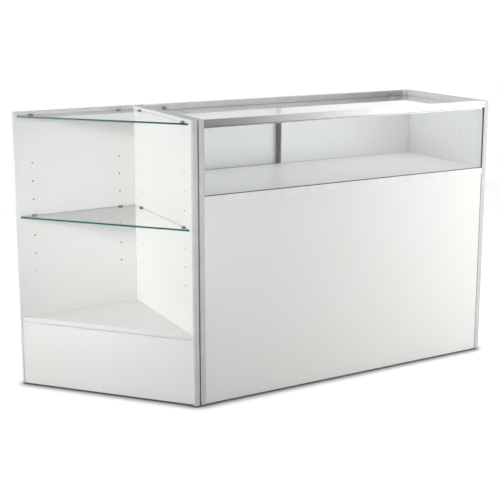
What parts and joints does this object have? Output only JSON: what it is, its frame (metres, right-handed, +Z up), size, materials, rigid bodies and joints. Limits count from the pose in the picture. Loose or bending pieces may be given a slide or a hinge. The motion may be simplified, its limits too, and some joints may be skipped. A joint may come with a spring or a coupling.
{
  "type": "checkout counter",
  "caption": "White shop counter with a glazed display bay under a sunk glass top, sliding rear doors and open storage, joined to an open triangular corner display with glass shelves.",
  "frame": {"origin": "on the floor, at the middle of the overall footprint of both modules", "axes": "+X along the counter to the customer's right, +Y from the customer's side to the staff side, +Z up"},
  "size_m": [1.662, 0.506, 0.97],
  "materials": {
    "white_board": "chipboard with a white melamine facing, fine texture",
    "edge_band": "white plastic edge band",
    "satin_aluminium": "satin anodised extrusion",
    "stile_aluminium": "dark satin extrusion",
    "pull_aluminium": "satin spun cup",
    "clear_glass": "polished clear glass with green edges",
    "black_rubber": "black extruded gasket",
    "pale_plastic": "pale moulded or extruded plastic",
    "clear_pad": "clear soft plastic pad",
    "clip_steel": "dark satin clamp",
    "plated_steel": "bright zinc plate",
    "zinc_casting": "cast zinc, dull",
    "beech": "plain beech dowel"
  },
  "bodies": {
    "counter": {"counter_left_panel": "white_board", "counter_right_panel": "white_board", "counter_left_trim": "satin_aluminium", "counter_right_trim": "satin_aluminium", "counter_front_panel": "white_board", "display_deck": "white_board", "deck_front_profile": "satin_aluminium", "top_front_rail": "satin_aluminium", "top_rear_rail": "satin_aluminium", "front_glass": "clear_glass", "front_glass_gaskets": "black_rubber", "front_glass_side_seals": "black_rubber", "top_glass": "clear_glass", "rear_corner_brackets": "satin_aluminium", "rear_glass_clips": "plated_steel", "rail_end_blocks": "pale_plastic", "rail_screws": "plated_steel", "upper_door_track": "pale_plastic", "lower_door_track": "pale_plastic", "base_board": "white_board", "kick_board": "white_board", "storage_divider": "white_board", "left_storage_shelf": "white_board", "right_storage_shelf": "white_board", "storage_shelf_pins": "plated_steel", "divider_dowels": "beech", "counter_cam_bolts": "plated_steel", "counter_cam_locks": "zinc_casting", "counter_glides": "pale_plastic", "module_spacers": "pale_plastic", "module_connector_bolts": "plated_steel", "corner_back_panel": "white_board", "corner_side_panel": "white_board", "corner_side_trim": "satin_aluminium", "corner_back_edge_band": "edge_band", "corner_deck": "white_board", "corner_deck_edge_band": "edge_band", "corner_plinth": "white_board", "corner_plinth_blocks": "pale_plastic", "corner_plinth_screws": "plated_steel", "corner_glass_top": "clear_glass", "corner_glass_shelf": "clear_glass", "corner_top_clips": "clip_steel", "corner_shelf_clips": "clip_steel", "glass_clip_pads": "clear_pad", "corner_cam_bolts": "plated_steel", "corner_cam_locks": "zinc_casting", "corner_glides": "pale_plastic"},
    "left_sliding_door": {"left_door": "white_board", "left_door_stile": "stile_aluminium", "left_door_pull": "pull_aluminium", "left_door_runners": "pale_plastic"},
    "right_sliding_door": {"right_door": "white_board", "right_door_stile": "stile_aluminium", "right_door_pull": "pull_aluminium", "right_door_runners": "pale_plastic"}
  },
  "joints": [
    {"name": "left_door_slide", "type": "slide", "parent": "counter", "child": "left_sliding_door", "axis": [1, 0, 0], "range_m": [0, 0.54]},
    {"name": "right_door_slide", "type": "slide", "parent": "counter", "child": "right_sliding_door", "axis": [1, 0, 0], "range_m": [-0.54, 0]}
  ]
}
